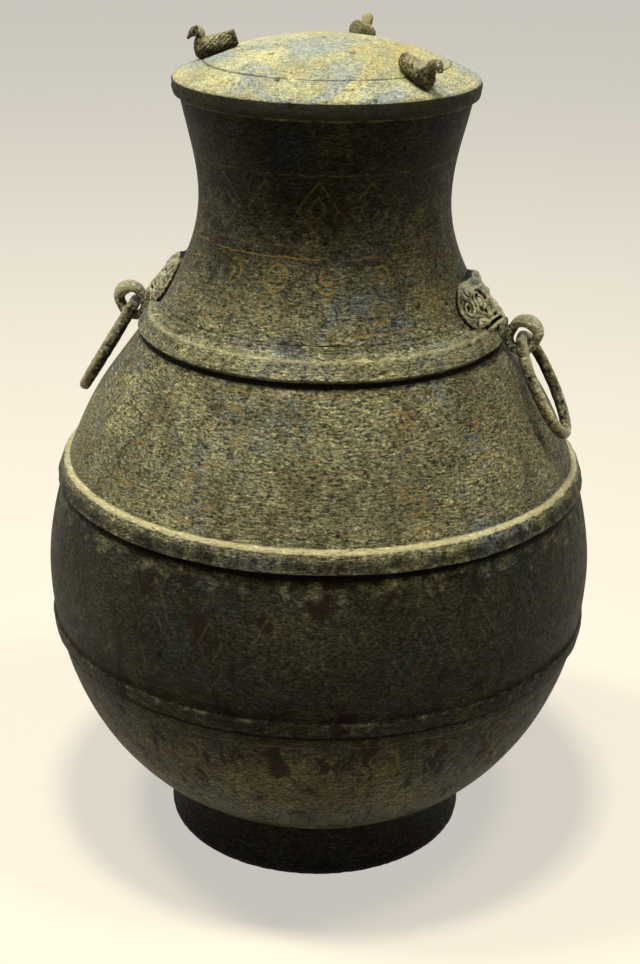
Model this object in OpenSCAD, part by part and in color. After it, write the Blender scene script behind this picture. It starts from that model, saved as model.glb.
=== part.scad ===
// Cast bronze hu: a lidded wine vessel with three raised bands, two animal masks whose
// snout loops carry free rings, and three small ducks that stand on the lid.
// The foot rests on z = 0, the vessel's axis is z, and the two masks face +x and -x.

/* [Vessel] */
// Height of the mouth above the surface that the foot stands on
mouth_h = 366; // [350:1:380]
// Outer radius of the mouth
mouth_r = 66; // [64:0.5:68]
// Outer radius at the waist of the neck
neck_r = 58; // [55:0.5:60]
// Height of the neck's waist
neck_h = 321; // [312:1:330]
// Largest outer radius of the belly
belly_r = 132.4; // [128:0.2:136]
// Height of the belly's widest point
belly_h = 142; // [136:1:148]
// Outer radius where the belly turns into the shoulder
shoulder_r = 102.8; // [100:0.2:105]
// Height of that turn
shoulder_h = 232.8; // [230:0.2:236]
// Lean of the shoulder wall from the vertical, in degrees
shoulder_lean = 36; // [34:0.5:39]
// Thickness of the cast wall
wall = 3; // [2.5:0.1:3.5]

/* [Foot] */
// Height of the foot ring
foot_h = 26; // [22:1:30]
// Outer radius of the foot ring where it stands
foot_r = 75; // [73:0.5:78]
// Outer radius of the foot ring under the belly
foot_top_r = 71; // [70:0.5:72]
// Thickness of the foot ring
foot_wall = 4; // [3:0.5:5]

/* [Bands] */
// Lower edge, upper edge and height of relief of the shoulder band
upper_band = [257.5, 268.5, 3.2];
// Lower edge, upper edge and height of relief of the belly band
middle_band = [186.5, 197, 2.6];
// Lower edge, upper edge and height of relief of the lower band
lower_band = [111, 119.5, 1.6];

/* [Lid] */
// Outer radius of the lid
lid_r = 68.6; // [67:0.1:70]
// Height of the lid's upright edge
lid_edge = 7.5; // [6:0.5:9]
// Rise of the dome above that edge
dome_h = 17.5; // [15:0.5:20]
// Depth of the tongue that centres the lid in the mouth
tongue_h = 11; // [8:1:14]
// Gap between the tongue and the mouth
tongue_gap = 0.6; // [0.4:0.1:1]

/* [Ducks] */
// Distances of the back, left and right duck from the lid's axis
duck_places = [49.5, 49.5, 57.4];
// Directions in which they stand and look
duck_angles = [85, 194, 325];
// How far each of them stretches its head forward
duck_reach = [0, 0, 2.5];
// Length of a duck from tail to breast
duck_len = 19.5; // [18:0.5:21]
// Height of a duck's back above the lid
duck_back = 7.8; // [7:0.2:9]
// Greatest width of a duck
duck_w = 10.5; // [9:0.5:12]

/* [Masks] */
// Height of a mask's lower edge on the shoulder
mask_low = 263; // [261:0.5:265]
// Height of a mask's upper edge
mask_top = 287; // [285:0.5:290]
// Width of a mask round the shoulder
mask_w = 48; // [44:1:50]
// Relief of the plain face of a mask
mask_relief = 4.2; // [3.5:0.1:5]
// Radius of the tenon that holds a mask through the wall
tenon_r = 4; // [3:0.5:5]

/* [Loops and rings] */
// Distance of a loop's outer bend from the vessel's axis
loop_x = 96; // [95:0.5:97]
// Height of that bend's centre
loop_z = 263.5; // [262:0.5:265]
// Bend radius of the loop's strand, to the middle of the strand
loop_bend = 5.95; // [5.9:0.05:6.2]
// Thickness and width of the strand
loop_strand = [4.5, 6.4];
// Outer radius of a ring
ring_r = 27; // [26:0.5:27.5]
// Radius of a ring's rod
rod_r = 2.7; // [2.4:0.1:2.8]
// Lean of the left and right ring from the vertical where they rest on the shoulder
ring_lean = [31, 28.4];
// Turn of the left and right ring about their hanging line
ring_turn = [7.7, 4.1];

/* [Hidden] */

// Facets of the round castings
round_fn = 96;
// Facets of rods, strands and tenons
rod_fn = 48;
// Steps along each stretch of the profile
profile_steps = 12;

// Points along a cubic stretch from a to b that leaves along u and arrives along v
function stretch(a, u, v, b, n) = [for (i = [0 : n]) let (t = i / n, s = 1 - t)
    s*s*s*a + 3*s*s*t*(a + u) + 3*s*t*t*(b - v) + t*t*t*b];

// The lower belly is a quarter of an ellipse about a ring of this radius
belly_core_r = 40;
belly_drop = 124;
function lower_belly_r(z) =
    belly_core_r + (belly_r - belly_core_r) * sqrt(1 - pow((belly_h - z) / belly_drop, 2));
lower_belly = [for (i = [0 : profile_steps]) let (t = 1 - cos(90 * i / profile_steps),
    z = foot_h + (belly_h - foot_h) * t) [lower_belly_r(z), z]];

// From the belly's widest point over the shoulder, up the neck and out to the mouth
lean_way = [-sin(shoulder_lean), cos(shoulder_lean)];
flare_way = [sin(10), cos(10)];
belly_top = [belly_r, belly_h];
shoulder = [shoulder_r, shoulder_h];
waist = [neck_r, neck_h];
mouth = [mouth_r, mouth_h];
upper_belly = stretch(belly_top, [0, 29], 25 * lean_way, shoulder, profile_steps);
shoulder_run = stretch(shoulder, 37 * lean_way, [0, 31.6], waist, profile_steps);
neck_run = stretch(waist, [0, 16.6], 13.5 * flare_way, mouth, profile_steps);
function tail(list) = [for (i = [1 : len(list) - 1]) list[i]];
outer_line = concat(lower_belly, tail(upper_belly), tail(shoulder_run), tail(neck_run));
last = len(outer_line) - 1;

// Outward normal of the profile at point i, and the profile moved in by a distance
function unit(v) = v / norm(v);
function line_way(i) = unit(outer_line[min(i + 1, last)] - outer_line[max(i - 1, 0)]);
function line_normal(i) = [line_way(i)[1], -line_way(i)[0]];
function inset(i, d) = outer_line[i] - d * line_normal(i);

// Place and outward normal of the outer wall at height z, above the belly's lower end
function wall_step(z) = max([for (i = [0 : last - 1]) if (outer_line[i][1] <= z) i]);
function wall_r(z) = let (i = wall_step(z), a = outer_line[i], b = outer_line[i + 1])
    a[0] + (b[0] - a[0]) * (z - a[1]) / (b[1] - a[1]);
function wall_normal(z) = let (d = 2) unit([2 * d, wall_r(z - d) - wall_r(z + d)]);

// Outline of a raised band: full in the middle, with short round edges
band_steps = 12;
band_sink = 1;
function band_swell(t) = pow(1 - pow(abs(2 * t - 1), 3), 1 / 2);
function band_outline(band) = concat(
    [for (i = [0 : band_steps]) let (t = i / band_steps, z = band[0] + (band[1] - band[0]) * t)
        [wall_r(z), z] + band[2] * band_swell(t) * wall_normal(z)],
    [for (i = [band_steps : -1 : 0]) let (z = band[0] + (band[1] - band[0]) * i / band_steps)
        [wall_r(z), z] - band_sink * wall_normal(z)]);

module band_ring(band) {
    rotate_extrude($fn = round_fn) {
        polygon(band_outline(band));
    }
}

// Solid of the vessel's outside, and of the hollow inside it, with a fillet at the floor
module outside() {
    rotate_extrude($fn = round_fn) {
        polygon(concat([[0, foot_h]], outer_line, [[0, mouth_h]]));
    }
    for (band = [upper_band, middle_band, lower_band]) {
        band_ring(band);
    }
}
floor_top = foot_h + wall;
floor_fillet = 3;
inner_line = [for (i = [0 : last]) let (p = inset(i, wall)) if (p[1] > floor_top + 1) p];
module hollow() {
    rotate_extrude($fn = round_fn) {
        polygon(concat([[0, floor_top], [inner_line[0][0] - floor_fillet, floor_top]], inner_line,
            [[inner_line[len(inner_line) - 1][0], mouth_h + 1], [0, mouth_h + 1]]));
    }
}

// A mask's tenon runs square to the wall through a bore, with a flat head inside
tenon_z = 277;
tenon_gap = 0.1;
tenon_tilt = atan2(wall_normal(tenon_z)[0], wall_normal(tenon_z)[1]);
head_r = 7;
head_t = 2.5;
head_gap = 0.6;
module at_tenon() {
    translate([wall_r(tenon_z), 0, tenon_z]) {
        rotate([0, tenon_tilt, 0]) {
            children();
        }
    }
}

// The cast shell: foot seat, belly, shoulder, neck and three raised bands
module vessel_body() {
    color("darkolivegreen") {
        difference() {
            outside();
            hollow();
            for (side = [0, 180]) {
                rotate(side) {
                    at_tenon() {
                        translate([0, 0, -10]) {
                            cylinder(r = tenon_r + tenon_gap, h = 20, $fn = rod_fn);
                        }
                    }
                }
            }
        }
    }
}

// The foot ring flares a little and stands on a flat annulus
module foot_ring() {
    foot_lip = 3;
    color("darkslategray") {
        rotate_extrude($fn = round_fn) {
            polygon([[foot_r - foot_wall, 0], [foot_r, 0], [foot_r, foot_lip],
                [foot_top_r + 1, foot_h * 0.55], [foot_top_r, foot_h],
                [foot_top_r - foot_wall, foot_h], [foot_top_r - foot_wall, foot_h * 0.55]]);
        }
    }
}

// Relief of a mask over the wall, with u from its chin to its brow and v from ear to ear
function bump(u, v, u0, v0, su, sv) = exp(-pow((u - u0) / su, 2) - pow((v - v0) / sv, 2));
function pair(u, v, u0, v0, su, sv) = bump(u, v, u0, v0, su, sv) + bump(u, v, u0, -v0, su, sv);
mask_widest = 0.57;
function mask_half_w(u) = 1 - (u > mask_widest ? 2.3 : 1.8) * pow(u - mask_widest, 2);
function mask_height(u, v) = mask_relief * (1 - 0.3 * u)
    + 3.4 * bump(u, v, 0.10, 0, 0.26, 0.32)
    + 3.4 * bump(u, v, 0.48, 0, 0.34, 0.15)
    + 2.2 * pair(u, v, 0.56, 0.48, 0.12, 0.15)
    + 1.8 * pair(u, v, 0.78, 0.44, 0.07, 0.30)
    + 2.0 * pair(u, v, 0.88, 0.74, 0.14, 0.16)
    + 2.2 * pair(u, v, 0.22, 0.66, 0.12, 0.16)
    + 1.2 * bump(u, v, 0.92, 0, 0.10, 0.16);
mask_rows = 18;
mask_cols = 28;
// A point over the wall at height z and angle a, lifted by h along the wall's normal
function over_wall(z, a, h) = let (n = wall_normal(z), r = wall_r(z) + h * n[0])
    [r * cos(a), r * sin(a), z + h * n[1]];
function mask_point(i, j, lift) = let (u = i / mask_rows, v = 2 * j / mask_cols - 1,
    z = mask_low + (mask_top - mask_low) * u,
    a = v * mask_half_w(u) * mask_w / 2 / wall_r(tenon_z) * 180 / PI,
    edge = pow(max(0, 1 - pow(abs(v), 6)), 0.5) * pow(max(0, 1 - pow(abs(2 * u - 1), 10)), 0.5))
    over_wall(z, a, lift ? 0.6 + (mask_height(u, v) - 0.6) * edge : 0);
function grid_face(row, i, j, up) = up ?
    [row*i + j, row*(i + 1) + j, row*(i + 1) + j + 1, row*i + j + 1] :
    [row*i + j, row*i + j + 1, row*(i + 1) + j + 1, row*(i + 1) + j];
module mask_face() {
    row = mask_cols + 1;
    lid0 = row * (mask_rows + 1);
    front = [for (i = [0 : mask_rows], j = [0 : mask_cols]) mask_point(i, j, true)];
    back = [for (i = [0 : mask_rows], j = [0 : mask_cols]) mask_point(i, j, false)];
    rim = concat([for (j = [0 : mask_cols]) j], [for (i = [1 : mask_rows]) row*i + mask_cols],
        [for (j = [mask_cols - 1 : -1 : 0]) row * mask_rows + j],
        [for (i = [mask_rows - 1 : -1 : 1]) row * i]);
    n = len(rim);
    polyhedron(concat(front, back), concat(
        [for (i = [0 : mask_rows - 1], j = [0 : mask_cols - 1]) grid_face(row, i, j, true)],
        [for (i = [0 : mask_rows - 1], j = [0 : mask_cols - 1])
            [for (k = grid_face(row, i, j, false)) k + lid0]],
        [for (k = [0 : n - 1]) let (a = rim[k], b = rim[(k + 1) % n])
            [a, b, b + lid0, a + lid0]]));
}

// The loop is an oval of round strand: an outer bend, two straights and an inner bend
loop_shift = [-1.8, -3.2];
strand_sides = 24;
module strand_section() {
    polygon([for (k = [0 : strand_sides - 1]) let (a = 360 * (k + 0.5) / strand_sides)
        [loop_strand[0] / 2 * cos(a), loop_strand[1] / 2 * sin(a)]]);
}
module half_loop() {
    rotate([90, 0, 0]) {
        rotate_extrude(angle = 180, $fn = round_fn) {
            translate([loop_bend, 0]) {
                strand_section();
            }
        }
    }
}
module snout_loop() {
    run = norm(loop_shift);
    turn = atan2(-loop_shift[1], -loop_shift[0]);
    translate([loop_x, 0, loop_z]) {
        rotate([0, -turn, 0]) {
            rotate([0, 90, 0]) {
                half_loop();
            }
            for (side = [-1, 1]) {
                translate([-run, 0, side * loop_bend]) {
                    rotate([0, 90, 0]) {
                        linear_extrude(run) {
                            strand_section();
                        }
                    }
                }
            }
            translate([-run, 0, 0]) {
                rotate([0, -90, 0]) {
                    half_loop();
                }
            }
        }
    }
}

// One mask: relief face, snout that carries the loop, and tenon with its inside head
module mask() {
    difference() {
        mask_face();
        band_ring(upper_band);
    }
    difference() {
        union() {
            snout_loop();
            translate([wall_r(loop_z) + 4, 0, loop_z - 0.5]) {
                sphere(r = 4.6, $fn = rod_fn);
            }
        }
        outside();
    }
    at_tenon() {
        translate([0, 0, -wall - head_gap - head_t]) {
            cylinder(r = tenon_r, h = wall + head_gap + head_t + 1.5, $fn = rod_fn);
            cylinder(r = head_r, h = head_t, $fn = rod_fn);
        }
    }
}
module mask_left() {
    color("slategray") {
        rotate(180) {
            mask();
        }
    }
}
module mask_right() {
    color("darkkhaki") {
        mask();
    }
}

// A ring hangs by its rod in the inner bend of the loop and leans towards the shoulder
hang_x = loop_x + loop_shift[0];
hang_z = loop_z + loop_shift[1];
module ring(lean, turn) {
    translate([hang_x, 0, hang_z]) {
        rotate([0, -lean, 0]) {
            translate([0, 0, rod_r - ring_r]) {
                rotate([90, 0, 90 + turn]) {
                    rotate_extrude($fn = round_fn) {
                        translate([ring_r - rod_r, 0]) {
                            circle(r = rod_r, $fn = rod_fn);
                        }
                    }
                }
            }
        }
    }
}
module ring_left() {
    color("dimgray") {
        rotate(180) {
            ring(ring_lean[0], ring_turn[0]);
        }
    }
}
module ring_right() {
    color("olive") {
        ring(ring_lean[1], ring_turn[1]);
    }
}

// The lid: a shallow dome on an upright edge, with a tongue that drops into the mouth
lid_low = mouth_h + 0.3;
lid_shoulder = lid_low + lid_edge;
dome_sphere = (lid_r * lid_r + dome_h * dome_h) / (2 * dome_h);
dome_centre = lid_shoulder + dome_h - dome_sphere;
lid_wall = 3;
dome_steps = 18;
tongue_r = mouth_r - wall * 1.03 - tongue_gap;
tongue_end_r = wall_r(mouth_h - tongue_h) - wall * 1.03 - tongue_gap;
function dome_z(r) = dome_centre + sqrt(dome_sphere * dome_sphere - r * r);
peg_r = 1.8;
peg_gap = 0.1;
module lid() {
    color("darkkhaki") {
        difference() {
            rotate_extrude($fn = round_fn) {
                polygon(concat(
                    [[lid_r - 1, lid_low], [lid_r, lid_low + 1], [lid_r, lid_shoulder - 1]],
                    [for (i = [0 : dome_steps]) let (r = (lid_r - 0.6) * (1 - i / dome_steps))
                        [r, dome_z(r)]],
                    [for (i = [0 : dome_steps]) let (r = (tongue_r - lid_wall) * i / dome_steps)
                        [r, dome_z(r) - lid_wall]],
                    [[tongue_r - lid_wall, lid_low], [tongue_end_r - lid_wall, lid_low - tongue_h],
                        [tongue_end_r, lid_low - tongue_h], [tongue_r, lid_low]]));
            }
            for (i = [0 : 2]) {
                at_duck(i) {
                    translate([0, 0, -8]) {
                        cylinder(r = peg_r + peg_gap, h = 16, $fn = rod_fn);
                    }
                }
            }
        }
    }
}

// A duck stands square to the dome and looks outward
module at_duck(i) {
    rotate(duck_angles[i]) {
        translate([duck_places[i], 0, dome_z(duck_places[i])]) {
            rotate([0, asin(duck_places[i] / dome_sphere), 0]) {
                children();
            }
        }
    }
}

// Stations from tail to bill: place along the duck, height of the middle, half width,
// half height and lean of the section. Body, neck, head and bill are one skin.
breast = duck_len * 0.42;
tail_end = breast - duck_len;
duck_stations = [
    [tail_end, 3.9, 1.2, 3.3, 0],
    [tail_end + 0.7, 3.9, 2.8, 3.6, 0],
    [tail_end + 3.2, duck_back * 0.46, duck_w * 0.38, 3.9, 0],
    [tail_end + 7, duck_back * 0.48, duck_w * 0.47, 4.2, 0],
    [tail_end + 11, duck_back * 0.5, duck_w / 2, 4.5, 0],
    [tail_end + 14.5, duck_back * 0.54, duck_w * 0.48, 4.8, -8],
    [breast - 2.5, duck_back * 0.61, duck_w * 0.39, 4.8, -26],
    [breast - 2.7, duck_back * 0.87, 3.1, 3.6, -55],
    [breast - 4, duck_back * 1.13, 2.4, 2.6, -84],
    [breast - 4.9, duck_back * 1.33, 2.3, 2.3, -78],
    [breast - 4.4, duck_back * 1.47, 2.6, 2.6, -35],
    [breast - 3, duck_back * 1.53, 2.6, 2.5, 0],
    [breast - 1.4, duck_back * 1.5, 2, 1.8, 20],
    [breast - 0.3, duck_back * 1.44, 1.4, 1.1, 30],
    [breast + 0.9, duck_back * 1.34, 1.2, 0.7, 38],
    [breast + 1.3, duck_back * 1.31, 0.4, 0.25, 38]];
// A smooth run through stations a, b, c and d, from b to c
function between(a, b, c, d, t) = 0.5 * (2 * b + (c - a) * t
    + (2 * a - 5 * b + 4 * c - d) * t * t + (3 * b - a - 3 * c + d) * t * t * t);
duck_last = len(duck_stations) - 1;
duck_steps = 2;
duck_rings = concat([for (i = [0 : duck_last - 1], k = [0 : duck_steps - 1])
    between(duck_stations[max(i - 1, 0)], duck_stations[i], duck_stations[i + 1],
        duck_stations[min(i + 2, duck_last)], k / duck_steps)], [duck_stations[duck_last]]);
duck_sides = 14;
duck_sole = 0.05;
function duck_point(s, k, reach) = let (a = 360 * k / duck_sides, up = s[3] * sin(a),
    z = max(duck_sole, s[1] + up * cos(s[4])), rise = max(0, z / duck_back - 0.8))
    [s[0] + up * sin(s[4]) + reach * rise / 0.7, s[2] * cos(a), z];
module duck_skin(reach) {
    n = len(duck_rings);
    points = [for (s = duck_rings, k = [0 : duck_sides - 1]) duck_point(s, k, reach)];
    polyhedron(points, concat(
        [[for (k = [0 : duck_sides - 1]) k]],
        [for (i = [0 : n - 2], k = [0 : duck_sides - 1]) let (l = (k + 1) % duck_sides)
            [duck_sides*i + k, duck_sides*(i + 1) + k, duck_sides*(i + 1) + l, duck_sides*i + l]],
        [[for (k = [duck_sides - 1 : -1 : 0]) duck_sides * (n - 1) + k]]));
}
module duck(i) {
    at_duck(i) {
        duck_skin(duck_reach[i]);
        translate([0, 0, -6]) {
            cylinder(r = peg_r, h = 8, $fn = rod_fn);
        }
    }
}
module duck_back() {
    color("darkseagreen") {
        duck(0);
    }
}
module duck_left() {
    color("darkseagreen") {
        duck(1);
    }
}
module duck_right() {
    color("darkseagreen") {
        duck(2);
    }
}

vessel_body();
foot_ring();
mask_left();
mask_right();
ring_left();
ring_right();
lid();
duck_back();
duck_left();
duck_right();
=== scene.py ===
import math
import bmesh
import bpy
import numpy as np
from mathutils import Matrix, Vector, noise


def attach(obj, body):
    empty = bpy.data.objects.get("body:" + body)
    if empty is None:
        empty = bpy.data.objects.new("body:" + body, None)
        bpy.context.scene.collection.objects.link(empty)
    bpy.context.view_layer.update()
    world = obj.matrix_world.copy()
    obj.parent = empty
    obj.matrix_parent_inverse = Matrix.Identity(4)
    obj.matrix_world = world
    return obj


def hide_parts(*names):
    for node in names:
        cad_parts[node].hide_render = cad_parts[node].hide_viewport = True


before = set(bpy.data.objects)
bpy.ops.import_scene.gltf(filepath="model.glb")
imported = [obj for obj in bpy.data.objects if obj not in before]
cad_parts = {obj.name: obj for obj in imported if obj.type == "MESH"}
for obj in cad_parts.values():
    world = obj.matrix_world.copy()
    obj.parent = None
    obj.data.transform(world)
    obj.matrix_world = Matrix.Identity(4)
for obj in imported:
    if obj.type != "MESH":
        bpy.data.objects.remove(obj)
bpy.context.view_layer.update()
scene = bpy.context.scene
scene.view_settings.view_transform = "Standard"


# The camera. It looks down on the vessel from a little to the right of the front, so that
# the right mask turns towards it. Lens and place come from the photograph's perspective.
camera_turn = math.radians(14)
camera_pitch = math.radians(22.7)
camera_roll = math.radians(0.97)
camera_away = 0.7583
camera_height = 0.4947
focal_pixels = 1676.7
frame_height_pixels = 964
up = Vector((0, 0, 1))
level = Vector((-math.sin(camera_turn), math.cos(camera_turn), 0))
side = Vector((math.cos(camera_turn), math.sin(camera_turn), 0))
ahead = level * math.cos(camera_pitch) - up * math.sin(camera_pitch)
above = side.cross(ahead)
side_rolled = side * math.cos(camera_roll) + above * math.sin(camera_roll)
above_rolled = above * math.cos(camera_roll) - side * math.sin(camera_roll)
place = Vector((math.sin(camera_turn) * camera_away, -math.cos(camera_turn) * camera_away, camera_height))
camera_data = bpy.data.cameras.new("camera")
camera_data.sensor_fit = "VERTICAL"
camera_data.sensor_height = 36
camera_data.lens = focal_pixels * camera_data.sensor_height / frame_height_pixels
camera = bpy.data.objects.new("camera", camera_data)
camera.matrix_world = Matrix((
    (side_rolled.x, above_rolled.x, -ahead.x, place.x),
    (side_rolled.y, above_rolled.y, -ahead.y, place.y),
    (side_rolled.z, above_rolled.z, -ahead.z, place.z),
    (0, 0, 0, 1)))
scene.collection.objects.link(camera)
scene.camera = camera


# The studio. Three lamps hang almost overhead, as in the photograph, and one weak broad lamp
# stands in front. A matt pale floor fills the view and throws some light back up.
def colour(text):
    """A colour written in sRGB hex, as the linear values that a shader takes."""
    parts = [int(text[i:i + 2], 16) / 255 for i in (1, 3, 5)]
    return [p / 12.92 if p <= 0.04045 else ((p + 0.055) / 1.055) ** 2.4 for p in parts] + [1]


def add(tree, kind, inputs=None, out=0, **settings):
    """Adds a node, sets it and its sockets, links what comes from other nodes."""
    node = tree.nodes.new(kind)
    for name, value in settings.items():
        setattr(node, name, value)
    for key, value in (inputs or {}).items():
        if isinstance(value, bpy.types.NodeSocket):
            tree.links.new(value, node.inputs[key])
        else:
            node.inputs[key].default_value = value
    return node.outputs[out] if len(node.outputs) else node


def shown_rays(tree):
    """1 for the rays that see the background: straight, mirrored or through glass."""
    rays = add(tree, "ShaderNodeLightPath").node.outputs
    mirrored = add(tree, "ShaderNodeMath", {0: rays["Is Glossy Ray"], 1: rays["Is Transmission Ray"]},
                   operation="MAXIMUM")
    return add(tree, "ShaderNodeMath", {0: rays["Is Camera Ray"], 1: mirrored}, operation="MAXIMUM")


def lamp(name, position, target, size, watts, tint):
    data = bpy.data.lights.new(name, "AREA")
    data.size = size
    data.energy = watts
    data.color = colour(tint)[:3]
    thing = bpy.data.objects.new(name, data)
    thing.location = position
    thing.rotation_euler = (Vector(target) - Vector(position)).to_track_quat("-Z", "Y").to_euler()
    scene.collection.objects.link(thing)


lamp("overhead", (-0.02, -0.24, 1.75), (0, 0, 0.25), 0.22, 30, "#fff9ec")
lamp("overhead left", (-0.62, -0.20, 1.62), (0, 0, 0.25), 0.22, 18, "#fff9ec")
lamp("overhead right", (0.60, -0.12, 1.66), (0, 0, 0.25), 0.22, 11, "#fff9ec")
lamp("front", (-0.5, -1.9, 0.85), (0, 0, 0.2), 0.9, 0.6, "#fffaf0")

world = bpy.data.worlds.new("studio")
scene.world = world
world.use_nodes = True
world.node_tree.nodes.clear()
seen = shown_rays(world.node_tree)
dim = add(world.node_tree, "ShaderNodeBackground", {0: colour("#ffffff"), 1: 0.03})
white = add(world.node_tree, "ShaderNodeBackground", {0: colour("#ffffff"), 1: 1.0})
both = add(world.node_tree, "ShaderNodeMixShader", {0: seen, 1: dim, 2: white})
add(world.node_tree, "ShaderNodeOutputWorld", {0: both})

floor_mesh = bpy.data.meshes.new("floor")
floor_half = 9
floor_mesh.from_pydata([(-floor_half, -floor_half, 0), (floor_half, -floor_half, 0),
                        (floor_half, floor_half, 0), (-floor_half, floor_half, 0)], [], [(0, 1, 2, 3)])
floor = bpy.data.objects.new("floor", floor_mesh)
scene.collection.objects.link(floor)
matt = bpy.data.materials.new("matt pale paper")
matt.use_nodes = True
matt.node_tree.nodes.clear()
paper = add(matt.node_tree, "ShaderNodeBsdfDiffuse", {0: colour("#8f8979")})
bounce = add(matt.node_tree, "ShaderNodeBsdfDiffuse", {0: colour("#e0d3ae")})
glow = add(matt.node_tree, "ShaderNodeEmission", {0: colour("#fffaf0"), 1: 0.56})
lit = add(matt.node_tree, "ShaderNodeAddShader", {0: paper, 1: glow})
direct = shown_rays(matt.node_tree)
paper_seen = add(matt.node_tree, "ShaderNodeMixShader", {0: direct, 1: bounce, 2: lit})
add(matt.node_tree, "ShaderNodeOutputMaterial", {0: paper_seen})
floor_mesh.materials.append(matt)


# The vessel body. A bronze shell cast in piece moulds: belly, shoulder, neck and three raised
# bands in one pour, about 3 mm thick. The profile is turned round the axis by Geometry Nodes,
# and its hand-worked surface wavers and dips a little, always inwards from the CAD outline.
mm = 0.001
mouth_h, mouth_r = 366, 66
neck_r, neck_h = 58, 321
belly_r, belly_h = 132.4, 142
shoulder_r, shoulder_h, shoulder_lean = 102.8, 232.8, 36
wall, foot_h = 3, 26
upper_band = (257.5, 268.5, 3.2)
middle_band = (186.5, 197, 2.6)
lower_band = (111, 119.5, 1.6)
belly_core_r, belly_drop = 40, 124


def stretch(a, u, v, b, n):
    """Points along a cubic stretch from a to b that leaves along u and arrives along v."""
    a, u, v, b = (np.array(p, float) for p in (a, u, v, b))
    t = np.linspace(0, 1, n + 1)[:, None]
    s = 1 - t
    return s**3 * a + 3 * s * s * t * (a + u) + 3 * s * t * t * (b - v) + t**3 * b


lean = math.radians(shoulder_lean)
lean_way = np.array([-math.sin(lean), math.cos(lean)])
flare_way = np.array([math.sin(math.radians(10)), math.cos(math.radians(10))])
fine = 60
low_t = 1 - np.cos(np.linspace(0, math.pi / 2, fine + 1))
low_z = foot_h + (belly_h - foot_h) * low_t
low_r = belly_core_r + (belly_r - belly_core_r) * np.sqrt(1 - ((belly_h - low_z) / belly_drop) ** 2)
wall_line = np.concatenate([
    np.stack([low_r, low_z], 1),
    stretch((belly_r, belly_h), (0, 29), 25 * lean_way, (shoulder_r, shoulder_h), fine)[1:],
    stretch((shoulder_r, shoulder_h), 37 * lean_way, (0, 31.6), (neck_r, neck_h), fine)[1:],
    stretch((neck_r, neck_h), (0, 16.6), 13.5 * flare_way, (mouth_r, mouth_h), fine)[1:]])


def wall_r(z):
    return np.interp(z, wall_line[:, 1], wall_line[:, 0])


def wall_normal(z):
    across = wall_r(z - 2) - wall_r(z + 2)
    size = np.hypot(4, across)
    return 4 / size, across / size


def band_lift(z, band):
    """Relief of a raised band at height z: a sharp undercut lower edge, a soft upper one."""
    t = np.clip((z - band[0]) / (band[1] - band[0]), 0, 1)
    lower = np.clip(t / 0.04, 0, 1) ** 0.6
    upper = np.sqrt(1 - np.clip(2 * t - 1, 0, 1) ** 3)
    undercut = 0.9 * np.exp(-((z - band[0] + 0.5) / 0.7) ** 2) * (z <= band[0])
    return band[2] * np.minimum(lower, upper) - undercut


# Heights are close together on the bands and wider apart between them. A fine line is
# incised round the shoulder above the upper band.
incised_z = 271.6
heights = []
z = foot_h + 0.4
while z < mouth_h - 0.8:
    heights.append(z)
    near_band = any(b[0] - 1.2 < z < b[1] + 1.2 for b in (upper_band, middle_band, lower_band))
    z += 0.35 if near_band else 2.3
for band in (upper_band, middle_band, lower_band):
    heights = [z for z in heights if not band[0] - 0.3 < z < band[0] + 0.6]
    heights += [band[0] - 0.25, band[0], band[0] + 0.06, band[0] + 0.2, band[0] + 0.5]
heights = np.array(sorted(heights + [incised_z - 0.4, incised_z, incised_z + 0.4]))
lift = sum(band_lift(heights, b) for b in (upper_band, middle_band, lower_band))
lift = lift - 0.3 * np.exp(-((heights - incised_z) / 0.3) ** 2)
out_r, out_z = wall_normal(heights)
outer = np.stack([wall_r(heights) + lift * out_r, heights + lift * out_z], 1)
inner_z = np.arange(mouth_h - 1.0, foot_h + wall + 3, -5.0)
in_r = wall_normal(inner_z)[0]
inner = np.stack([wall_r(inner_z) - wall * in_r, inner_z], 1)
body_profile = np.concatenate([
    [[0.01, foot_h], [20, foot_h], [40, foot_h], [60, foot_h], [wall_r(foot_h) - 1, foot_h]],
    outer,
    [[mouth_r, mouth_h - 0.5], [mouth_r - 0.4, mouth_h], [mouth_r - wall + 0.4, mouth_h]],
    inner,
    [[wall_r(foot_h) - 7, foot_h + wall], [40, foot_h + wall], [0.01, foot_h + wall]]])


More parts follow.
